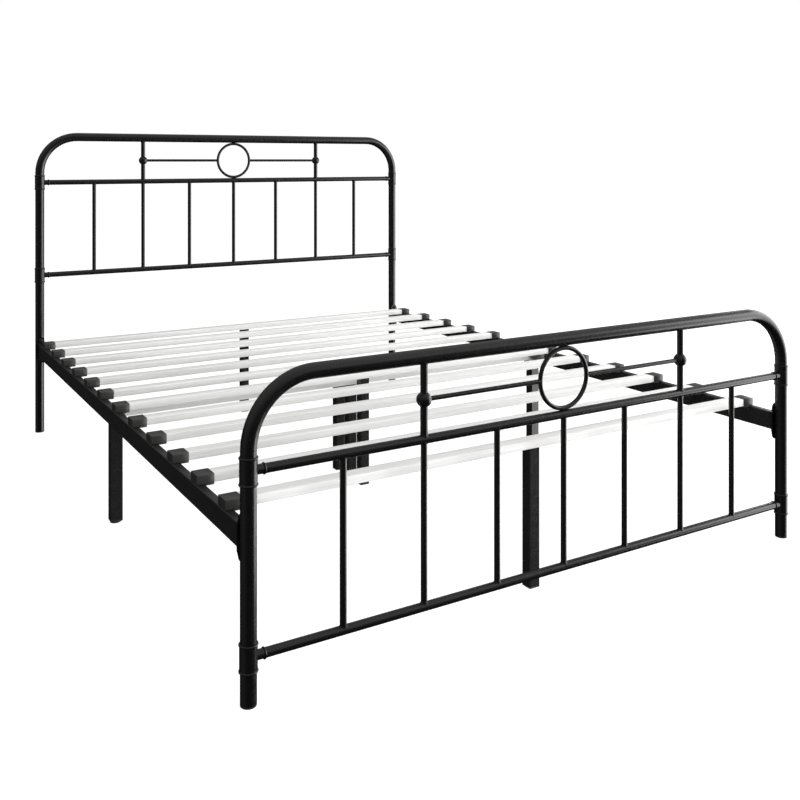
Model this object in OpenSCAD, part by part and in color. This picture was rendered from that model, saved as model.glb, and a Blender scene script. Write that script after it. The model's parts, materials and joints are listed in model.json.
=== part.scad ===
// Metal bed frame. Two arched tube ends with crossbars, spindles and a ring scroll, two side rails,
// twelve timber slats in end caps, and legs under the middle of the bed.
// X runs across the bed, +Y from foot to head, +Z up. The origin is on the floor at the bed's centre.

/* [Frame] */
// Distance between the post centres across the bed
frame_w = 1540; // [1500:10:1600]
// Distance between the post centres along the bed
frame_l = 2080; // [2060:10:2120]
// Height of the headboard's top tube, on its axis
head_top_z = 1111; // [1080:1:1200]
// Height of the footboard's top tube, on its axis
foot_top_z = 612; // [590:1:700]
// Distance from the top tube's axis down to the upper crossbar's axis
top_panel_h = 173; // [160:1:190]
// Distance between the upper and the lower crossbar's axes
spindle_panel_h = 349; // [300:1:360]

/* [Tubes] */
// Outside diameter of the arch tubes
post_d = 32; // [30:1:34]
// Wall of the arch tubes
post_wall = 1.5; // [1:0.1:2]
// Radius of the arch's bends, on the tube's axis
bend_r = 137; // [110:1:150]
// Outside diameter of the crossbars
bar_d = 19; // [17:1:22]
// Wall of the crossbars
bar_wall = 1.2; // [1:0.1:2]
// Diameter of the spindles
spindle_d = 14; // [10:0.5:15]
// Distance between the spindles
spindle_pitch = 190; // [170:1:200]
// Diameter of the short uprights in the top panel
upright_d = 16; // [12:1:18]

/* [Scroll] */
// Outside diameter of the ring
ring_d = 148; // [140:1:150]
// Thickness of the ring's bar
ring_bar_d = 10.5; // [8:0.5:12]
// Diameter of the rods that meet the ring
scroll_rod_d = 10; // [8:1:12]
// Diameter of the ball knots
knot_d = 33; // [26:1:36]

/* [Collars] */
// Outside diameter of the sleeves on the posts
collar_d = 35; // [35:1:38]
// Height of the sleeves
collar_h = 55; // [40:1:60]
// Thickness of the beads on sleeves and crossbars
bead_d = 5; // [3:0.5:6]
// Distance from a post's axis to the crossbar's bead
bead_x = 31; // [26:1:40]

/* [Side rails] */
// Width of the side rails
rail_w = 20; // [18:1:25]
// Height of the side rails
rail_h = 48; // [45:1:50]
// Wall of the side rails
rail_wall = 1.5; // [1.2:0.1:2]
// Height of the side rails' top face
rail_top_z = 334; // [320:1:340]
// Thickness of the plates on the rails' ends
plate_t = 4; // [3:0.5:5]
// Diameter of the bolts that hold the rails
rail_bolt_d = 8; // [6:1:8]
// Distance between the two bolts of a plate
rail_bolt_gap = 72; // [68:1:76]

/* [Slats] */
// Number of slats, an even number
slat_count = 12; // [12:1:12]
// Distance between the slats' centres
slat_pitch = 167.5; // [160:0.5:170]
// Width of a slat
slat_w = 38; // [36:1:40]
// Thickness of a slat
slat_t = 19; // [17:1:20]
// Length of a slat's end cap
cap_l = 38.4; // [36:0.2:40]
// Side wall of a cap
cap_wall = 2.2; // [2:0.1:2.5]
// Top and bottom wall of a cap
cap_skin = 0.8; // [0.6:0.1:1.5]
// How far a cap's lip hangs down inside the rail
cap_lip_h = 3; // [1:0.5:5]
// Diameter of the pegs that hold a cap in the rail
peg_d = 6; // [5:1:7]

/* [Middle support] */
// Side of the centre legs' square tube
leg_w = 30; // [28:1:32]
// Side of the outer middle legs' square tube
mid_leg_w = 33; // [30:1:34]
// Wall of the legs
leg_wall = 1.5; // [1.2:0.1:2]
// Thickness of the middle crossbar
crossbar_w = 19; // [18:1:20]
// Height of the middle crossbar
crossbar_h = 38; // [36:1:40]

/* [Hidden] */

$fn = 64;
eps = 1; // how far a cutting body runs past a face
coat = [0.10, 0.10, 0.10];
cap_colour = [0.22, 0.22, 0.22];
timber = [0.90, 0.88, 0.84];
zinc = [0.70, 0.71, 0.73];

post_x = frame_w / 2;
post_y = frame_l / 2;
post_in_d = post_d - 2 * post_wall;
plug_flange_h = 4;
plug_stub_h = 20;

spindle_reach = 3; // spindles each side of the middle one
upright_x = 2 * spindle_pitch;
ring_mid_r = (ring_d - ring_bar_d) / 2;

rail_mid_z = rail_top_z - rail_h / 2;
rail_end_y = post_y - post_d / 2 - plate_t;
rail_in_x = post_x - rail_w / 2;
rail_out_x = post_x + rail_w / 2;

plate_lobe_d = 26;
plate_waist_h = rail_h;
washer_d = 16;
washer_t = 1.6;
bolt_head_d = 14;
bolt_head_h = 4.4;
bolt_socket_af = 5;
bolt_socket_h = 2.6;
insert_d = 11;
insert_l = 16;
bolt_l = washer_t + plate_t + insert_l;

cap_h = slat_t + 2 * cap_skin;
cap_out_x = rail_out_x - 1.2;
slat_end_x = cap_out_x - cap_wall;
slat_z = rail_top_z + cap_skin;
peg_l = 12;
peg_gap = 24;

rail_corner_r = 3; // outer corner of the side rails' tube
leg_corner_r = 1.8; // outer corner of the legs' tube
leg_cap_h = 4;
leg_stub_h = 14;
mid_pad_d = mid_leg_w - 3;
mid_pad_h = 5; // height of the round pad under an outer middle leg
leg_plate_t = 3;
stud_d = 6;
stud_l = 13;
stud_insert_d = 9;
stud_insert_l = 14;

crossbar_z = rail_top_z - crossbar_h;
bracket_t = 3;
bracket_back_w = 120;
bracket_cradle_l = 30;
bracket_side_h = 35;
bracket_screw_y = 45;
flange_t = 4;
mid_leg_top_z = rail_top_z - rail_h - flange_t;
mid_leg_x = rail_in_x + 8.5 - mid_leg_w / 2; // the leg's outer face lies under the rail
flange_out_x = rail_out_x - 6;
flange_l = 56;
flange_screw_x = rail_out_x - 12;
flange_screw_y = 22.5;
screw_d = 4.8;
screw_l = 12;
screw_head_d = 8.5;
screw_head_h = 3;

supported_slats = [1, 6, 7, 12];

function slat_y(i) = ((slat_count + 1) / 2 - i) * slat_pitch;
function spindle_x(i) = (i - 1 - spindle_reach) * spindle_pitch;

// ---- helpers ----

// Round bar along X, centred
module round_x(d, l) {
    rotate([0, 90, 0]) cylinder(d = d, h = l, center = true);
}

// Both sides of the bed
module both_sides() {
    for (side = [0, 1]) mirror([side, 0, 0]) children();
}

// Both ends of the bed
module both_ends() {
    for (side = [0, 1]) mirror([0, side, 0]) children();
}

// Rectangle with round corners, centred
module round_rect(w, h, r) {
    square([w - 2 * r, h], center = true);
    square([w, h - 2 * r], center = true);
    for (x = [-1, 1], y = [-1, 1]) translate([x * (w / 2 - r), y * (h / 2 - r)]) circle(r = r, $fn = 32);
}

// Square tube of a leg along Z
module leg_tube(w, l) {
    linear_extrude(l) difference() {
        round_rect(w, w, leg_corner_r);
        square(w - 2 * leg_wall, center = true);
    }
}

// Ring bead round the Z axis: half round outside a bar of diameter d
module bead(d, outside_d) {
    difference() {
        rotate_extrude() translate([(outside_d - bead_d) / 2, 0]) circle(d = bead_d, $fn = 32);
        cylinder(d = d, h = 2 * bead_d, center = true);
    }
}

// Pan-head screw, pointing along +Z, with the underside of its head at the origin
module screw() {
    cylinder(d = screw_d, h = screw_l);
    difference() {
        translate([0, 0, -screw_head_h]) cylinder(d1 = screw_head_d * 0.7, d2 = screw_head_d, h = screw_head_h);
        translate([0, 0, -screw_head_h - eps]) cylinder(d = 3, h = eps + 1.5, $fn = 6);
    }
}

// ---- arched ends, drawn in the plane Y = 0 with the top tube's axis at top_z ----

// Solid bar of diameter d that follows the arch from bottom_z, over the top and down again
module arch_path(d, top_z, bottom_z) {
    bend_x = post_x - bend_r;
    bend_z = top_z - bend_r;
    both_sides() {
        translate([post_x, 0, bottom_z]) cylinder(d = d, h = bend_z - bottom_z);
        translate([bend_x, 0, bend_z]) rotate([90, 0, 0])
            rotate_extrude(angle = 90) translate([bend_r, 0]) circle(d = d);
    }
    translate([0, 0, top_z]) round_x(d, 2 * bend_x);
}

// The arch tube, with the holes for the rail bolts' inserts on the side that faces the bed (-Y here)
module arch_tube(top_z) {
    color(coat) difference() {
        arch_path(post_d, top_z, plug_flange_h);
        arch_path(post_in_d, top_z, plug_flange_h - eps);
        both_sides() for (s = [-1, 1])
            translate([post_x, 0, rail_mid_z + s * rail_bolt_gap / 2]) rotate([90, 0, 0])
                cylinder(d = insert_d, h = post_d, $fn = 48);
    }
}

module crossbar(z) {
    color(coat) translate([0, 0, z]) difference() {
        round_x(bar_d, frame_w);
        round_x(bar_d - 2 * bar_wall, frame_w + 2 * eps);
        both_sides() translate([post_x, 0, 0]) cylinder(d = collar_d, h = 2 * bar_d, center = true);
    }
}

module spindle(x, top_z) {
    upper_z = top_z - top_panel_h;
    lower_z = upper_z - spindle_panel_h;
    color(coat) difference() {
        translate([x, 0, lower_z]) cylinder(d = spindle_d, h = upper_z - lower_z);
        for (z = [lower_z, upper_z]) translate([x, 0, z]) round_x(bar_d, 4 * spindle_d);
    }
}

module top_uprights(top_z) {
    upper_z = top_z - top_panel_h;
    color(coat) both_sides() translate([upright_x, 0, 0]) difference() {
        translate([0, 0, upper_z]) cylinder(d = upright_d, h = top_panel_h);
        translate([0, 0, upper_z]) round_x(bar_d, 4 * upright_d);
        translate([0, 0, top_z]) round_x(post_d, 4 * upright_d);
    }
}

function scroll_z(top_z) = top_z - post_d / 2 - (top_panel_h - post_d / 2 - bar_d / 2) / 2;

module ring_torus() {
    rotate([90, 0, 0]) rotate_extrude() translate([ring_mid_r, 0]) circle(d = ring_bar_d);
}

// The ring, cut to the tube above and the crossbar below where it is welded
module ring(top_z) {
    color(coat) difference() {
        translate([0, 0, scroll_z(top_z)]) ring_torus();
        translate([0, 0, top_z]) round_x(post_d, ring_d);
        translate([0, 0, top_z - top_panel_h]) round_x(bar_d, ring_d);
    }
}

module scroll_rods(top_z) {
    color(coat) both_sides() translate([0, 0, scroll_z(top_z)]) difference() {
        translate([ring_mid_r, 0, 0]) rotate([0, 90, 0]) cylinder(d = scroll_rod_d, h = upright_x - ring_mid_r);
        translate([upright_x, 0, 0]) sphere(d = knot_d);
        ring_torus();
    }
}

module end_knots(top_z) {
    both_sides() translate([upright_x, 0, scroll_z(top_z)]) difference() {
        sphere(d = knot_d);
        cylinder(d = upright_d, h = 2 * knot_d, center = true);
    }
}

module end_collars(top_z) {
    for (drop = [top_panel_h, top_panel_h + spindle_panel_h])
        both_sides() translate([post_x, 0, top_z - drop]) {
            difference() {
                cylinder(d = collar_d, h = collar_h - bead_d, center = true);
                cylinder(d = post_d, h = collar_h + 2 * eps, center = true);
            }
            for (s = [-1, 1]) translate([0, 0, s * (collar_h - bead_d) / 2]) bead(post_d, collar_d + 3);
        }
}

module end_bar_beads(top_z) {
    for (drop = [top_panel_h, top_panel_h + spindle_panel_h])
        both_sides() translate([post_x - bead_x, 0, top_z - drop]) rotate([0, 90, 0]) bead(bar_d, bar_d + 4);
}

// Put what belongs to one end in its place: the head end keeps its bed side towards -Y
module at_head() {
    translate([0, post_y, 0]) children();
}

module at_foot() {
    mirror([0, 1, 0]) translate([0, post_y, 0]) children();
}

module post_collars() {
    color(coat) {
        at_head() end_collars(head_top_z);
        at_foot() end_collars(foot_top_z);
    }
}

module crossbar_beads() {
    color(coat) {
        at_head() end_bar_beads(head_top_z);
        at_foot() end_bar_beads(foot_top_z);
    }
}

module scroll_knots() {
    color(coat) {
        at_head() end_knots(head_top_z);
        at_foot() end_knots(foot_top_z);
    }
}

module post_foot_plugs() {
    color(cap_colour) both_ends() both_sides() translate([post_x, post_y, 0]) {
        cylinder(d = post_d, h = plug_flange_h);
        cylinder(d = post_in_d, h = plug_flange_h + plug_stub_h);
    }
}

// ---- side rails ----

// The right rail; the left one is its mirror image
module side_rail() {
    color(coat) difference() {
        translate([post_x, rail_end_y, rail_mid_z]) rotate([90, 0, 0])
            linear_extrude(2 * rail_end_y) difference() {
                round_rect(rail_w, rail_h, rail_corner_r);
                round_rect(rail_w - 2 * rail_wall, rail_h - 2 * rail_wall, rail_corner_r / 2);
            }
        for (i = [1:slat_count], s = [-1, 1])
            translate([post_x, slat_y(i) + s * peg_gap / 2, rail_top_z - 2 * rail_wall])
                cylinder(d = peg_d, h = 2 * rail_wall + eps, $fn = 32);
        for (s = [-1, 1]) {
            translate([flange_screw_x, s * flange_screw_y, rail_top_z - rail_h - eps])
                cylinder(d = screw_d, h = rail_wall + 2 * eps, $fn = 32);
            translate([rail_in_x - eps, s * bracket_screw_y, rail_mid_z]) rotate([0, 90, 0])
                cylinder(d = screw_d, h = rail_wall + 2 * eps, $fn = 32);
        }
    }
}

// Outline of the plate on a rail's end: as wide as the post at the rail, with a round lobe at each bolt
module plate_outline() {
    square([post_d, plate_waist_h], center = true);
    for (s = [-1, 1]) {
        translate([0, s * rail_bolt_gap / 2]) circle(d = plate_lobe_d);
        polygon([[-post_d / 2, s * plate_waist_h / 2], [post_d / 2, s * plate_waist_h / 2],
                 [plate_lobe_d / 2, s * rail_bolt_gap / 2], [-plate_lobe_d / 2, s * rail_bolt_gap / 2]]);
    }
}

module rail_end_plates() {
    color(coat) both_ends() both_sides() translate([post_x, rail_end_y + plate_t, rail_mid_z])
        rotate([90, 0, 0]) linear_extrude(plate_t) difference() {
            plate_outline();
            for (s = [-1, 1]) translate([0, s * rail_bolt_gap / 2]) circle(d = rail_bolt_d);
        }
}

// Places for one bolt each: the origin at the plate's inner face, +Z towards the post
module at_rail_bolts() {
    both_ends() both_sides() for (s = [-1, 1])
        translate([post_x, rail_end_y, rail_mid_z + s * rail_bolt_gap / 2]) rotate([-90, 0, 0]) children();
}

module rail_bolts() {
    dome_r = (pow(bolt_head_d / 2, 2) + pow(bolt_head_h, 2)) / (2 * bolt_head_h);
    color(coat) at_rail_bolts() translate([0, 0, -washer_t]) {
        cylinder(d = rail_bolt_d, h = bolt_l);
        difference() {
            intersection() {
                translate([0, 0, dome_r - bolt_head_h]) sphere(r = dome_r);
                translate([0, 0, -bolt_head_h]) cylinder(d = bolt_head_d, h = bolt_head_h);
            }
            translate([0, 0, -bolt_head_h - eps])
                cylinder(d = bolt_socket_af / cos(30), h = bolt_socket_h + eps, $fn = 6);
        }
    }
}

module rail_bolt_washers() {
    color(coat) at_rail_bolts() translate([0, 0, -washer_t]) difference() {
        cylinder(d = washer_d, h = washer_t);
        translate([0, 0, -eps]) cylinder(d = rail_bolt_d, h = washer_t + 2 * eps);
    }
}

// Threaded sleeves in the posts that the rail bolts screw into
module post_inserts() {
    color(zinc) at_rail_bolts() translate([0, 0, plate_t]) difference() {
        cylinder(d = insert_d, h = insert_l, $fn = 48);
        translate([0, 0, -eps]) cylinder(d = rail_bolt_d, h = insert_l + 2 * eps);
    }
}

// ---- slats ----

module slat(i) {
    color(timber) translate([0, slat_y(i), slat_z]) difference() {
        translate([-slat_end_x, -slat_w / 2, 0]) cube([2 * slat_end_x, slat_w, slat_t]);
        if (len(search(i, supported_slats)) > 0)
            translate([0, 0, -eps]) cylinder(d = stud_insert_d, h = stud_insert_l + eps, $fn = 48);
    }
}

module slat_cap() {
    cap_w = slat_w + 2 * cap_wall;
    difference() {
        translate([cap_out_x - cap_l, -cap_w / 2, rail_top_z]) cube([cap_l, cap_w, cap_h]);
        translate([cap_out_x - cap_l - eps, -slat_w / 2, slat_z]) cube([cap_l - cap_wall + eps, slat_w, slat_t]);
    }
    translate([cap_out_x - cap_l, -cap_w / 2, rail_top_z - cap_lip_h])
        cube([rail_in_x - cap_out_x + cap_l, cap_w, cap_lip_h + cap_skin / 2]);
    for (s = [-1, 1]) translate([post_x, s * peg_gap / 2, rail_top_z - peg_l])
        cylinder(d = peg_d, h = peg_l + cap_skin / 2, $fn = 32);
}

module slat_caps() {
    color(cap_colour) for (i = [1:slat_count]) both_sides() translate([0, slat_y(i), 0]) slat_cap();
}

// ---- legs and middle crossbar ----

// Places under the supported slats, on the floor
module at_slat_legs() {
    for (i = supported_slats) translate([0, slat_y(i), 0]) children();
}

module center_slat_legs() {
    color(coat) at_slat_legs() translate([0, 0, leg_cap_h])
        leg_tube(leg_w, slat_z - leg_plate_t - leg_cap_h);
}

module center_mid_leg() {
    color(coat) translate([0, 0, leg_cap_h])
        leg_tube(leg_w, crossbar_z - leg_plate_t - leg_cap_h);
}

module mid_leg() {
    bottom_z = mid_pad_h + leg_cap_h;
    color(coat) translate([mid_leg_x, 0, bottom_z])
        leg_tube(mid_leg_w, mid_leg_top_z - bottom_z);
}

// Plate on a leg's top end with the stud that screws up into the timber; top_z is the plate's upper face
module leg_top_plate(top_z) {
    translate([0, 0, top_z - leg_plate_t]) linear_extrude(leg_plate_t) round_rect(leg_w, leg_w, leg_corner_r);
    translate([0, 0, top_z - leg_plate_t]) cylinder(d = stud_d, h = leg_plate_t + stud_l, $fn = 48);
}

module leg_top_plates() {
    color(coat) {
        at_slat_legs() leg_top_plate(slat_z);
        leg_top_plate(crossbar_z);
    }
}

// Threaded sleeve in the timber; top_z is the timber's underside
module leg_stud_insert(under_z) {
    translate([0, 0, under_z]) difference() {
        cylinder(d = stud_insert_d, h = stud_insert_l, $fn = 48);
        translate([0, 0, -eps]) cylinder(d = stud_d, h = stud_l + eps, $fn = 48);
    }
}

module leg_stud_inserts() {
    color(zinc) {
        at_slat_legs() leg_stud_insert(slat_z);
        leg_stud_insert(crossbar_z);
    }
}

module leg_foot_cap(w) {
    stub_w = w - 2 * leg_wall;
    linear_extrude(leg_cap_h) round_rect(w, w, leg_corner_r);
    linear_extrude(leg_cap_h + leg_stub_h) square(stub_w, center = true);
}

module leg_foot_caps() {
    color(cap_colour) {
        at_slat_legs() leg_foot_cap(leg_w);
        leg_foot_cap(leg_w);
        both_sides() translate([mid_leg_x, 0, 0]) {
            cylinder(d = mid_pad_d, h = mid_pad_h + leg_cap_h / 2);
            translate([0, 0, mid_pad_h]) leg_foot_cap(mid_leg_w);
        }
    }
}

// Plates welded on the outer middle legs, screwed to the underside of the rails
module mid_leg_flanges() {
    leg_in_x = mid_leg_x - mid_leg_w / 2;
    color(coat) both_sides() difference() {
        translate([leg_in_x, -flange_l / 2, mid_leg_top_z]) cube([flange_out_x - leg_in_x, flange_l, flange_t]);
        for (s = [-1, 1]) translate([flange_screw_x, s * flange_screw_y, mid_leg_top_z - eps])
            cylinder(d = screw_d, h = flange_t + 2 * eps, $fn = 32);
    }
}

module mid_crossbar() {
    half_l = rail_in_x - bracket_t;
    color(timber) difference() {
        translate([-half_l, -crossbar_w / 2, crossbar_z]) cube([2 * half_l, crossbar_w, crossbar_h]);
        translate([0, 0, crossbar_z - eps]) cylinder(d = stud_insert_d, h = stud_insert_l + eps, $fn = 48);
    }
}

// Hangers on the rails' inner faces that the crossbar's ends sit in
module mid_crossbar_brackets() {
    back_z = rail_top_z - rail_h + 2;
    cradle_x = rail_in_x - bracket_t - bracket_cradle_l;
    color(zinc) both_sides() difference() {
        union() {
            translate([rail_in_x - bracket_t, -bracket_back_w / 2, back_z])
                cube([bracket_t, bracket_back_w, rail_h - 4]);
            translate([cradle_x, -crossbar_w / 2 - bracket_t, crossbar_z - bracket_t])
                cube([bracket_cradle_l, crossbar_w + 2 * bracket_t, bracket_side_h]);
        }
        translate([cradle_x - eps, -crossbar_w / 2, crossbar_z])
            cube([bracket_cradle_l + eps, crossbar_w, crossbar_h]);
        for (s = [-1, 1]) translate([rail_in_x - bracket_t - eps, s * bracket_screw_y, rail_mid_z])
            rotate([0, 90, 0]) cylinder(d = screw_d, h = bracket_t + 2 * eps, $fn = 32);
    }
}

module mid_support_screws() {
    color(zinc) both_sides() for (s = [-1, 1]) {
        translate([flange_screw_x, s * flange_screw_y, mid_leg_top_z]) screw();
        translate([rail_in_x - bracket_t, s * bracket_screw_y, rail_mid_z]) rotate([0, 90, 0]) screw();
    }
}

// ---- nodes ----

at_head() arch_tube(head_top_z);  // head_arch_tube
at_head() crossbar(head_top_z - top_panel_h);  // head_upper_crossbar
at_head() crossbar(head_top_z - top_panel_h - spindle_panel_h);  // head_lower_crossbar
at_head() spindle(spindle_x(1), head_top_z);  // head_spindle_1
at_head() spindle(spindle_x(2), head_top_z);  // head_spindle_2
at_head() spindle(spindle_x(3), head_top_z);  // head_spindle_3
at_head() spindle(spindle_x(4), head_top_z);  // head_spindle_4
at_head() spindle(spindle_x(5), head_top_z);  // head_spindle_5
at_head() spindle(spindle_x(6), head_top_z);  // head_spindle_6
at_head() spindle(spindle_x(7), head_top_z);  // head_spindle_7
at_head() top_uprights(head_top_z);  // head_top_uprights
at_head() scroll_rods(head_top_z);  // head_scroll_rods
at_head() ring(head_top_z);  // head_ring

at_foot() arch_tube(foot_top_z);  // foot_arch_tube
at_foot() crossbar(foot_top_z - top_panel_h);  // foot_upper_crossbar
at_foot() crossbar(foot_top_z - top_panel_h - spindle_panel_h);  // foot_lower_crossbar
at_foot() spindle(spindle_x(1), foot_top_z);  // foot_spindle_1
at_foot() spindle(spindle_x(2), foot_top_z);  // foot_spindle_2
at_foot() spindle(spindle_x(3), foot_top_z);  // foot_spindle_3
at_foot() spindle(spindle_x(4), foot_top_z);  // foot_spindle_4
at_foot() spindle(spindle_x(5), foot_top_z);  // foot_spindle_5
at_foot() spindle(spindle_x(6), foot_top_z);  // foot_spindle_6
at_foot() spindle(spindle_x(7), foot_top_z);  // foot_spindle_7
at_foot() top_uprights(foot_top_z);  // foot_top_uprights
at_foot() scroll_rods(foot_top_z);  // foot_scroll_rods
at_foot() ring(foot_top_z);  // foot_ring

post_collars();
crossbar_beads();
scroll_knots();
post_foot_plugs();

mirror([1, 0, 0]) side_rail();  // left_side_rail
side_rail();  // right_side_rail
rail_end_plates();
rail_bolts();
rail_bolt_washers();
post_inserts();

mid_crossbar();
mid_crossbar_brackets();
mirror([1, 0, 0]) mid_leg();  // left_mid_leg
mid_leg();  // right_mid_leg
center_mid_leg();
center_slat_legs();
leg_top_plates();
mid_leg_flanges();
leg_foot_caps();
leg_stud_inserts();
mid_support_screws();

slat(1);  // slat_01
slat(2);  // slat_02
slat(3);  // slat_03
slat(4);  // slat_04
slat(5);  // slat_05
slat(6);  // slat_06
slat(7);  // slat_07
slat(8);  // slat_08
slat(9);  // slat_09
slat(10);  // slat_10
slat(11);  // slat_11
slat(12);  // slat_12
slat_caps();
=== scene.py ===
# Looks of the metal bed frame: camera, materials, timber boards, moulded caps and plugs, welds and studio.

import json
import math

import bmesh
import bpy
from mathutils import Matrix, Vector


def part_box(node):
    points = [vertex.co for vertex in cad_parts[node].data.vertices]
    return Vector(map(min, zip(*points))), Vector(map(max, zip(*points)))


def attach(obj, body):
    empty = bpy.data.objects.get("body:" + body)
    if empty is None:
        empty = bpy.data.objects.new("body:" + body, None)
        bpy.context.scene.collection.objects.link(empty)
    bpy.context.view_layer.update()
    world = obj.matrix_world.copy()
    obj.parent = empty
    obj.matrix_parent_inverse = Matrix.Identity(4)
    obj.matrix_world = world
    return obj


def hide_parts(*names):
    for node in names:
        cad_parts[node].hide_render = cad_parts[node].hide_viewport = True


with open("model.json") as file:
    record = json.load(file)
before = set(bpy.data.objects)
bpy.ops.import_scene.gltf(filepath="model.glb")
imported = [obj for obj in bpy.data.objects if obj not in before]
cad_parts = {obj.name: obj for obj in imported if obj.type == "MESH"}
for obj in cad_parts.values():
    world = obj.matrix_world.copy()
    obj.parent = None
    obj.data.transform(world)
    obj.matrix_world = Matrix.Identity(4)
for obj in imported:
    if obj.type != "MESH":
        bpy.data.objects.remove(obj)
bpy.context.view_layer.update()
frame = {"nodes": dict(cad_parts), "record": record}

MM = 0.001
ROOT = "root"

# ---- camera: a level view of the foot end from the left, with the horizon high in the picture ----

CAMERA_PLACE = (-1.4368, -2.6988, 1.0210)
CAMERA_YAW = math.radians(31.04)  # from +Y towards +X
LENS_MM = 42.39
SENSOR_MM = 36.0
HORIZON_SHIFT = -0.2994  # share of the picture's width


def make_camera():
    data = bpy.data.cameras.new("camera")
    data.lens = LENS_MM
    data.sensor_width = SENSOR_MM
    data.shift_y = HORIZON_SHIFT
    camera = bpy.data.objects.new("camera", data)
    camera.location = CAMERA_PLACE
    camera.rotation_euler = (math.pi / 2, 0, -CAMERA_YAW)
    bpy.context.scene.collection.objects.link(camera)
    bpy.context.scene.camera = camera


make_camera()


# ---- materials ----


class Nodes:
    """A node tree whose make() adds a node, sets its inputs or links sockets to them, and returns it."""

    def __init__(self, tree):
        self.tree = tree

    def make(self, kind, inputs=(), **settings):
        node = self.tree.nodes.new(kind)
        for key, value in settings.items():
            setattr(node, key, value)
        for key, value in dict(inputs).items():
            if isinstance(value, bpy.types.NodeSocket):
                self.tree.links.new(value, node.inputs[key])
            else:
                node.inputs[key].default_value = value
        return node


def new_material(name, colour, roughness):
    material = bpy.data.materials.new(name)
    material.use_nodes = True
    material.diffuse_color = (*colour, 1)
    shader = material.node_tree.nodes["Principled BSDF"]
    shader.inputs["Base Color"].default_value = (*colour, 1)
    shader.inputs["Roughness"].default_value = roughness
    return material, Nodes(material.node_tree), shader


def object_place(nodes, scale=(1, 1, 1)):
    """Place on the object in metres, stretched by scale."""
    place = nodes.make("ShaderNodeTexCoord").outputs["Object"]
    return nodes.make("ShaderNodeMapping", {"Vector": place, "Scale": scale}).outputs["Vector"]


def noise(nodes, place, scale, detail=2.0, rough=0.5):
    """Noise from 0 to 1 with scale features to the metre."""
    return nodes.make(
        "ShaderNodeTexNoise", {"Vector": place, "Scale": scale, "Detail": detail, "Roughness": rough}
    ).outputs["Fac"]


def spread(nodes, value, low, high, from_low=0.3, from_high=0.7):
    """Value between from_low and from_high, spread out between low and high."""
    return nodes.make(
        "ShaderNodeMapRange",
        {"Value": value, "From Min": from_low, "From Max": from_high, "To Min": low, "To Max": high},
    ).outputs["Result"]


def two_colours(nodes, value, first, second):
    mix = nodes.make("ShaderNodeMix", data_type="RGBA")
    nodes.tree.links.new(value, mix.inputs["Factor"])
    mix.inputs["A"].default_value = (*first, 1)
    mix.inputs["B"].default_value = (*second, 1)
    return mix.outputs["Result"]


def bump(nodes, height, distance):
    """Surface relief of the given height in metres."""
    inputs = {"Height": height, "Distance": distance, "Strength": 1.0}
    return nodes.make("ShaderNodeBump", inputs).outputs["Normal"]


def join(nodes, shader, **sockets):
    """Links each named result to its input of the shader."""
    names = {"colour": "Base Color", "roughness": "Roughness", "normal": "Normal"}
    for key, value in sockets.items():
        nodes.tree.links.new(value, shader.inputs[names[key]])


def powder_coat(name="powder_coat", dark=(0.0022, 0.0021, 0.0021), light=(0.0036, 0.0034, 0.0033)):
    """Satin black powder coat: fine orange peel, faint mottling."""
    material, nodes, shader = new_material(name, light, 0.26)
    place = object_place(nodes)
    mottle = noise(nodes, place, scale=70, detail=3, rough=0.6)
    peel = noise(nodes, place, scale=700)
    join(
        nodes,
        shader,
        colour=two_colours(nodes, mottle, dark, light),
        roughness=spread(nodes, mottle, low=0.23, high=0.29),
        normal=bump(nodes, peel, 0.006 * MM),
    )
    return material


def pine():
    """Pale planed pine: fine fibres along X, wide growth bands and a few darker streaks."""
    material, nodes, shader = new_material("pine", (0.80, 0.78, 0.75), 0.55)
    shader.inputs["Specular IOR Level"].default_value = 0.25
    fibres = noise(nodes, object_place(nodes, (2.0, 150, 150)), scale=6, detail=4, rough=0.6)
    bands = noise(nodes, object_place(nodes, (0.6, 16, 16)), scale=4, detail=3, rough=0.55)
    shade = nodes.make("ShaderNodeMath", {0: fibres, 1: bands}, operation="ADD").outputs["Value"]
    streaks = spread(nodes, shade, low=0, high=1, from_low=0.75, from_high=1.2)
    join(
        nodes,
        shader,
        colour=two_colours(nodes, streaks, (0.73, 0.725, 0.71), (0.89, 0.89, 0.88)),
        roughness=spread(nodes, fibres, low=0.5, high=0.68),
        normal=bump(nodes, fibres, 0.1 * MM),
    )
    return material


def moulded_plastic(name, dark, light, roughness):
    """Moulded plastic with a fine spark-eroded grain."""
    material, nodes, shader = new_material(name, light, roughness)
    place = object_place(nodes)
    grain = noise(nodes, place, scale=900)
    flow = noise(nodes, place, scale=60, detail=3)
    join(
        nodes,
        shader,
        colour=two_colours(nodes, flow, dark, light),
        roughness=spread(nodes, flow, roughness - 0.04, roughness + 0.04),
        normal=bump(nodes, grain, 0.03 * MM),
    )
    return material


def zinc_plate():
    """Zinc plated steel with a faint spangle."""
    material, nodes, shader = new_material("zinc_steel", (0.6, 0.6, 0.62), 0.4)
    shader.inputs["Metallic"].default_value = 1.0
    spangle = noise(nodes, object_place(nodes), scale=260, detail=3)
    join(
        nodes,
        shader,
        colour=two_colours(nodes, spangle, (0.5, 0.5, 0.52), (0.68, 0.68, 0.69)),
        roughness=spread(nodes, spangle, low=0.32, high=0.5),
    )
    return material


def black_oxide():
    """Blackened steel of the bolts and screws, with light wear."""
    material, nodes, shader = new_material("black_fastener", (0.02, 0.02, 0.021), 0.35)
    shader.inputs["Metallic"].default_value = 0.6
    wear = noise(nodes, object_place(nodes), scale=500, detail=3)
    join(
        nodes,
        shader,
        colour=two_colours(nodes, wear, (0.01, 0.01, 0.011), (0.035, 0.035, 0.036)),
        roughness=spread(nodes, wear, low=0.28, high=0.45),
        normal=bump(nodes, wear, 0.03 * MM),
    )
    return material


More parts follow.
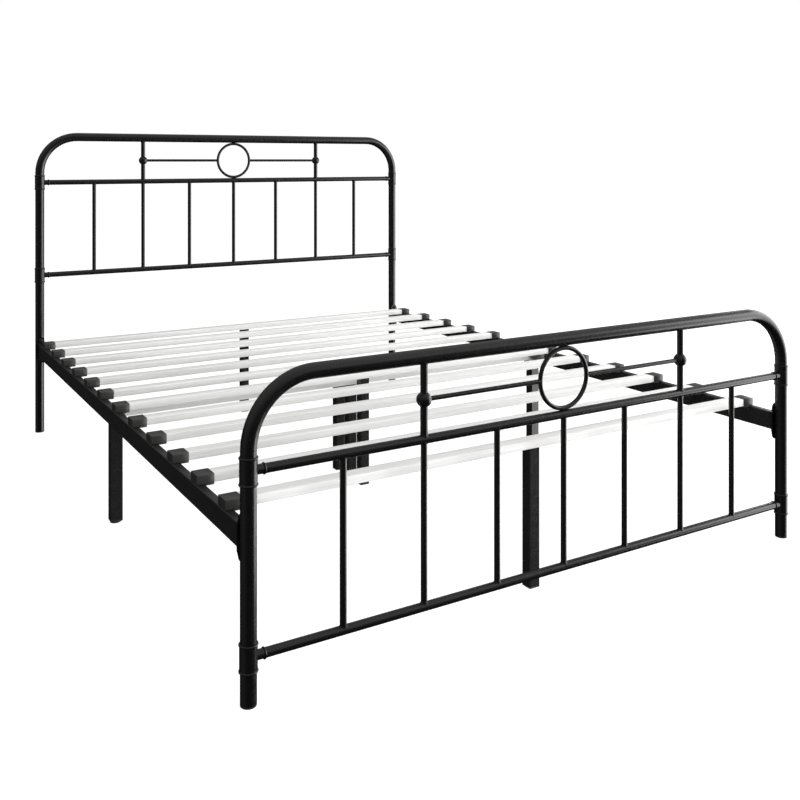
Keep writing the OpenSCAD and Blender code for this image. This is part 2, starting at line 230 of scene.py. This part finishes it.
MATERIALS = {
    "powder_coat": powder_coat(),
    "pine": pine(),
    "cap_plastic": moulded_plastic("cap_plastic", (0.026, 0.026, 0.025), (0.036, 0.036, 0.035), 0.32),
    "foot_plastic": moulded_plastic("foot_plastic", (0.012, 0.012, 0.012), (0.02, 0.02, 0.02), 0.5),
    "black_fastener": black_oxide(),
    "zinc_steel": zinc_plate(),
}

# Legs, plates and side rails: these get the lighter copy of the black powder coat, which is painted light.
PAINTED_LIGHTER_NODES = (
    "left_mid_leg",
    "right_mid_leg",
    "center_mid_leg",
    "center_slat_legs",
    "leg_top_plates",
    "mid_leg_flanges",
    "left_side_rail",
    "right_side_rail",
)
# Painted light: the same black powder coat made greyer, standing in for the light that the legs and rails
# catch.
PAINTED_LIGHTER_COAT = powder_coat("powder_coat_painted_lighter", (0.011, 0.0105, 0.0105), (0.016, 0.0155, 0.015))


def dress_cad_nodes():
    """Every CAD node takes the material of its slot; the legs and rails take a lighter copy of the black
    coat, painted light for the brighter look they catch under the lamps.
    """
    for part in frame["record"]["subparts"]:
        node = frame["nodes"][part["node"]]
        material = PAINTED_LIGHTER_COAT if part["node"] in PAINTED_LIGHTER_NODES else MATERIALS[part["material_slot"]]
        for slot in node.material_slots:
            slot.material = material


dress_cad_nodes()

# ---- pieces that stand for CAD nodes, with the edges and mouldings of the real ones ----

CORNER_STEPS = 3
LOOP_STEPS = 28
BEAD_SIDES = 8
SHARP_ANGLE = math.radians(50)  # an edge that turns more than this is drawn sharp
SMALLEST_RADIUS = 0.1 * MM
RAIL_CORNER = 3.0 * MM
EASED_EDGE = 0.5 * MM

rail_low, rail_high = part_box("right_side_rail")
RAIL_TOP = rail_high[2]
RAIL_INNER = rail_low[0]
SLATS = [f"slat_{number:02d}" for number in range(1, 13)]


class Shell:
    """Vertices and faces of one piece, collected part by part."""

    def __init__(self):
        self.vertices = []
        self.faces = []

    def ring(self, points):
        start = len(self.vertices)
        self.vertices += points
        return list(range(start, start + len(points)))

    def bridge(self, first, second):
        count = len(first)
        for i in range(count):
            j = (i + 1) % count
            self.faces.append((first[i], first[j], second[j], second[i]))

    def loft(self, sections):
        """Closed body through a row of sections with the same number of points."""
        rings = [self.ring(points) for points in sections]
        for first, second in zip(rings, rings[1:]):
            self.bridge(first, second)
        self.faces += [tuple(rings[0]), tuple(rings[-1])]

    def loop(self, path, out, along, radius):
        """Round bead on a closed path; out and along span its section at each point."""
        rings = []
        for point, u, v in zip(path, out, along):
            turns = [2 * math.pi * k / BEAD_SIDES for k in range(BEAD_SIDES)]
            rim = [point + radius * (math.cos(turn) * u + math.sin(turn) * v) for turn in turns]
            rings.append(self.ring([tuple(spot) for spot in rim]))
        for first, second in zip(rings, rings[1:] + rings[:1]):
            self.bridge(first, second)

    def build(self, name, slot, nodes=()):
        """Makes the piece, on the bed's one body, in place of the CAD nodes given."""
        mesh = bpy.data.meshes.new(name)
        mesh.from_pydata(self.vertices, [], self.faces)
        shape = bmesh.new()
        shape.from_mesh(mesh)
        bmesh.ops.recalc_face_normals(shape, faces=shape.faces)
        for face in shape.faces:
            face.smooth = True
        for edge in shape.edges:
            edge.smooth = len(edge.link_faces) == 2 and edge.calc_face_angle() < SHARP_ANGLE
        shape.to_mesh(mesh)
        shape.free()
        mesh.materials.append(MATERIALS[slot])
        piece = bpy.data.objects.new(name, mesh)
        bpy.context.scene.collection.objects.link(piece)
        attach(piece, ROOT)
        if nodes:
            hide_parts(*nodes)


def round_rectangle(low, high, radius):
    """Corner points of a rectangle (a, b) with round corners, anticlockwise."""
    points = []
    corners = ((high[0], high[1]), (low[0], high[1]), (low[0], low[1]), (high[0], low[1]))
    for corner, (a, b) in enumerate(corners):
        sign_a = 1 if corner in (0, 3) else -1
        sign_b = 1 if corner in (0, 1) else -1
        for step in range(CORNER_STEPS + 1):
            turn = math.pi / 2 * (corner + step / CORNER_STEPS)
            out_a = a - sign_a * radius + radius * math.cos(turn)
            out_b = b - sign_b * radius + radius * math.sin(turn)
            points.append((out_a, out_b))
    return points


def section_x(x, low, high, radius, inset=0.0):
    """Section across X of a bar between low and high, (y, z) each."""
    small = (low[0] + inset, low[1] + inset)
    large = (high[0] - inset, high[1] - inset)
    return [(x, y, z) for y, z in round_rectangle(small, large, max(radius - inset, SMALLEST_RADIUS))]


def rounded_ends(start, end, radius):
    """Places along a bar with the inset of its section, for a bar with round ends."""
    places = []
    for step in range(CORNER_STEPS + 1):
        turn = math.pi / 2 * step / CORNER_STEPS
        places.append((start + radius * (1 - math.sin(turn)), radius * (1 - math.cos(turn))))
    places = places[::-1]
    return places + [(start + end - place, inset) for place, inset in places[::-1]]


SLAT_EDGE = 1.4 * MM
CROSSBAR_EDGE = 1.2 * MM


def board(name, node, edge):
    """Sawn board with eased edges, along X."""
    low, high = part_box(node)
    ends = rounded_ends(low[0], high[0], edge / 2)
    shell = Shell()
    shell.loft([section_x(x, low[1:], high[1:], edge, inset) for x, inset in ends])
    shell.build(name, "pine", [node])


def make_boards():
    for node in SLATS:
        board(node + "_board", node, SLAT_EDGE)
    board("mid_crossbar_board", "mid_crossbar", CROSSBAR_EDGE)


CAP_LENGTH = 38.4 * MM
CAP_WALL = 2.2 * MM
CAP_SKIN = 0.8 * MM
CAP_EDGE = 1.6 * MM
CAP_LIP = 3.0 * MM
PEG_RADIUS = 3.0 * MM
PEG_TIP_RADIUS = 2.4 * MM
PEG_LENGTH = 12.0 * MM
PEG_GAP = 24.0 * MM


def column(shell, x, y, levels):
    """Turned body round a vertical axis through (height, radius) levels."""
    turns = [2 * math.pi * k / LOOP_STEPS for k in range(LOOP_STEPS)]
    shell.loft([[(x + r * math.cos(a), y + r * math.sin(a), z) for a in turns] for z, r in levels])


def make_slat_caps():
    """Moulded cap on both ends of every slat: open mouth, round edges, lip inside the rail, two pegs."""
    shell = Shell()
    caps_low, caps_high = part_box("slat_caps")
    top, outer = caps_high[2], caps_high[0]
    mouth = outer - CAP_LENGTH
    rim = CAP_SKIN / 3
    peg_x = (rail_low[0] + rail_high[0]) / 2
    for node in SLATS:
        slat_low, slat_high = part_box(node)
        low = (slat_low[1] - CAP_WALL, RAIL_TOP)
        high = (slat_high[1] + CAP_WALL, top)
        hole_low = (slat_low[1], RAIL_TOP + CAP_SKIN)
        hole_high = (slat_high[1], slat_high[2])
        middle_y = (slat_low[1] + slat_high[1]) / 2
        for side in (-1, 1):
            sections = [
                section_x(side * (outer - CAP_WALL), hole_low, hole_high, rim),
                section_x(side * (mouth + rim), hole_low, hole_high, rim),
                section_x(side * mouth, low, high, CAP_EDGE, rim),
                section_x(side * (mouth + rim), low, high, CAP_EDGE),
            ]
            for x, inset in rounded_ends(0.0, outer - mouth, CAP_EDGE)[CORNER_STEPS + 1 :]:
                sections.append(section_x(side * (mouth + x), low, high, CAP_EDGE, inset))
            shell.loft(sections)
            lip_low, lip_high = (low[0], RAIL_TOP - CAP_LIP), (high[0], RAIL_TOP + CAP_SKIN / 2)
            lip = [(mouth, CAP_SKIN / 2), (mouth + CAP_SKIN / 2, 0.0), (RAIL_INNER, 0.0)]
            shell.loft([section_x(side * x, lip_low, lip_high, CAP_SKIN, inset) for x, inset in lip])
            for peg in (-1, 1):
                levels = [
                    (RAIL_TOP - PEG_LENGTH, PEG_TIP_RADIUS),
                    (RAIL_TOP - PEG_LENGTH + CAP_SKIN, PEG_RADIUS),
                    (RAIL_TOP + CAP_SKIN / 2, PEG_RADIUS),
                ]
                column(shell, side * peg_x, middle_y + peg * PEG_GAP / 2, levels)
    shell.build("slat_caps_moulded", "cap_plastic", ["slat_caps"])


POST_RADIUS = 16.0 * MM
PLUG_FLANGE = 4.0 * MM
PLUG_TOP = 24.0 * MM
PLUG_STUB_RADIUS = 14.5 * MM
PLUG_EDGE = 1.6 * MM


def make_post_plugs():
    """Plug in the foot of each post: a round edged disc on the floor and a stub up the tube."""
    shell = Shell()
    low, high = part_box("post_foot_plugs")
    for x in (low[0] + POST_RADIUS, high[0] - POST_RADIUS):
        for y in (low[1] + POST_RADIUS, high[1] - POST_RADIUS):
            levels = []
            for step in range(CORNER_STEPS + 1):
                turn = math.pi / 2 * step / CORNER_STEPS
                height = PLUG_EDGE * (1 - math.cos(turn))
                levels.append((height, POST_RADIUS - PLUG_EDGE * (1 - math.sin(turn))))
            levels.append((PLUG_FLANGE, POST_RADIUS))
            levels.append((PLUG_FLANGE, PLUG_STUB_RADIUS))
            levels.append((PLUG_TOP, PLUG_STUB_RADIUS))
            column(shell, x, y, levels)
    shell.build("post_foot_plugs_moulded", "foot_plastic", ["post_foot_plugs"])


WELD_RADIUS = 1.3 * MM


def saddle(shell, x, y, stem_radius, bar_z, bar_radius, side):
    """Weld bead where a vertical stem meets a bar that runs along X, above it (side 1) or below it (-1)."""
    path, out, along = [], [], []
    for k in range(LOOP_STEPS):
        turn = 2 * math.pi * k / LOOP_STEPS
        u = Vector((math.cos(turn), math.sin(turn), 0))
        rise = math.sqrt(max(bar_radius**2 - (stem_radius * u.y) ** 2, 0))
        path.append(Vector((x, y, bar_z + side * rise)) + stem_radius * u)
        out.append(u)
        along.append(Vector((0, 0, 1)))
    shell.loop(path, out, along, WELD_RADIUS)


def bar_of(node):
    """(height of the axis, radius) of a bar along X."""
    low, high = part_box(node)
    return (low[2] + high[2]) / 2, (high[2] - low[2]) / 2


def make_welds():
    """Beads round both ends of every spindle and upright, and round the rails' ends."""
    shell = Shell()
    for end in ("head", "foot"):
        upper, upper_radius = bar_of(end + "_upper_crossbar")
        lower, lower_radius = bar_of(end + "_lower_crossbar")
        for number in range(1, 8):
            low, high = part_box(f"{end}_spindle_{number}")
            x, y, radius = (low[0] + high[0]) / 2, (low[1] + high[1]) / 2, (high[0] - low[0]) / 2
            saddle(shell, x, y, radius, upper, upper_radius, -1)
            saddle(shell, x, y, radius, lower, lower_radius, 1)
        low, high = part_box(end + "_top_uprights")
        radius = (high[1] - low[1]) / 2
        tube_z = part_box(end + "_arch_tube")[1][2] - POST_RADIUS
        for x in (low[0] + radius, high[0] - radius):
            saddle(shell, x, (low[1] + high[1]) / 2, radius, upper, upper_radius, 1)
            saddle(shell, x, (low[1] + high[1]) / 2, radius, tube_z, POST_RADIUS, -1)
    for side in ("left", "right"):
        low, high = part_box(side + "_side_rail")
        for y in (low[1], high[1]):
            rim = round_rectangle((low[0], low[2]), (high[0], high[2]), RAIL_CORNER)
            middle = Vector(((low[0] + high[0]) / 2, y, (low[2] + high[2]) / 2))
            path = [Vector((x, y, z)) for x, z in rim]
            out = [(point - middle).normalized() for point in path]
            shell.loop(path, out, [Vector((0, 1, 0))] * len(path), WELD_RADIUS)
    shell.build("weld_beads", "powder_coat")


def ease_plate_edges():
    """Rounds the edges of the flat steel plates."""
    for node in ("rail_end_plates", "mid_crossbar_brackets", "mid_leg_flanges"):
        bevel = frame["nodes"][node].modifiers.new("eased_edges", "BEVEL")
        bevel.width = EASED_EDGE
        bevel.segments = 2
        bevel.limit_method = "ANGLE"
        bevel.angle_limit = SHARP_ANGLE


make_boards()
make_slat_caps()
make_post_plugs()
make_welds()
ease_plate_edges()

# ---- studio: white floor and background, dim surroundings, a tall softbox on the right, soft fills ----

FLOOR_SIDE = 80.0
FLOOR_GLOW = 0.85
BACKGROUND_WHITE = 1.02
SKY_TOP = 0.62
SKY_RIGHT = 0.4
FRONT_GLOW = 1.6
LEFT_GLOW = 0.2
DARKEST = 0.02


def make_floor():
    """Pale floor, seen by the camera only, so that it lights and mirrors nothing."""
    material, nodes, shader = new_material("floor", (0.4, 0.4, 0.4), 0.9)
    shader.inputs["Specular IOR Level"].default_value = 0.0
    shader.inputs["Emission Color"].default_value = (1, 1, 1, 1)
    shader.inputs["Emission Strength"].default_value = FLOOR_GLOW
    half = FLOOR_SIDE / 2
    mesh = bpy.data.meshes.new("floor")
    corners = [(-half, -half, 0), (half, -half, 0), (half, half, 0), (-half, half, 0)]
    mesh.from_pydata(corners, [], [(0, 1, 2, 3)])
    mesh.materials.append(material)
    floor = bpy.data.objects.new("floor", mesh)
    bpy.context.scene.collection.objects.link(floor)
    floor.visible_glossy = False
    floor.visible_diffuse = False
    floor.visible_shadow = False


def make_world():
    """White for the camera; for light and reflections a bright top and a soft glow at the front right."""
    world = bpy.data.worlds.new("studio")
    bpy.context.scene.world = world
    world.use_nodes = True
    nodes = Nodes(world.node_tree)
    world.node_tree.nodes.clear()

    def calc(operation, first, second=0.0):
        return nodes.make("ShaderNodeMath", {0: first, 1: second}, operation=operation).outputs["Value"]

    direction = nodes.make("ShaderNodeTexCoord").outputs["Generated"]
    axes = nodes.make("ShaderNodeSeparateXYZ", {"Vector": direction}).outputs
    up = calc("MAXIMUM", axes["Z"], 0.0)
    right = calc("MAXIMUM", axes["X"], 0.0)
    left = calc("MAXIMUM", calc("MULTIPLY", axes["X"], -1.0), 0.0)
    front = calc("MAXIMUM", calc("MULTIPLY", axes["Y"], -1.0), 0.0)
    top_glow = calc("MULTIPLY", up, calc("ADD", calc("MULTIPLY", right, SKY_RIGHT), SKY_TOP))
    front_glow = calc("MULTIPLY", calc("MULTIPLY", right, front), FRONT_GLOW)
    front_glow = calc("MULTIPLY", front_glow, calc("SUBTRACT", 1.0, up))
    above_horizon = spread(nodes, axes["Z"], low=0.05, high=1.1, from_low=0.02, from_high=0.3)
    front_glow = calc("MULTIPLY", front_glow, above_horizon)
    left_glow = calc("MULTIPLY", calc("POWER", left, 4.0), LEFT_GLOW)
    strength = calc("ADD", calc("ADD", top_glow, front_glow), calc("ADD", left_glow, DARKEST))
    light = nodes.make("ShaderNodeBackground", {"Strength": strength})
    shown = nodes.make("ShaderNodeBackground", {"Strength": BACKGROUND_WHITE})
    for background in (light, shown):
        background.inputs["Color"].default_value = (1, 1, 1, 1)
    is_camera = nodes.make("ShaderNodeLightPath").outputs["Is Camera Ray"]
    mix = nodes.make("ShaderNodeMixShader", {0: is_camera, 1: light.outputs[0], 2: shown.outputs[0]})
    nodes.make("ShaderNodeOutputWorld", {"Surface": mix.outputs[0]})


def make_softbox(name, place, aim, width, height, power, seen_in_gloss=True):
    """Rectangular light, size in metres and power in watts; seen_in_gloss says if surfaces mirror it."""
    data = bpy.data.lights.new(name, "AREA")
    data.shape = "RECTANGLE"
    data.size = width
    data.size_y = height
    data.energy = power
    light = bpy.data.objects.new(name, data)
    light.location = place
    light.rotation_mode = "QUATERNION"
    light.rotation_quaternion = (Vector(aim) - Vector(place)).to_track_quat("-Z", "Y")
    light.visible_camera = False
    light.visible_glossy = seen_in_gloss
    bpy.context.scene.collection.objects.link(light)


make_floor()
make_world()
make_softbox(
    "softbox_right",
    place=(3.78, -0.894, 0.45),
    aim=(-1.07, 0.316, 0.45),
    width=5.33,
    height=4.3,
    power=303,
)
make_softbox(
    "front_fill",
    place=(-1.0, -6.5, 1.2),
    aim=(0, 0, 0.4),
    width=6.0,
    height=4.0,
    power=330,
    seen_in_gloss=False,
)
make_softbox(
    "top_fill",
    place=(0, 0, 5.0),
    aim=(0, 0, 0),
    width=5.0,
    height=5.0,
    power=60,
    seen_in_gloss=False,
)
bpy.context.scene.view_settings.view_transform = "Standard"
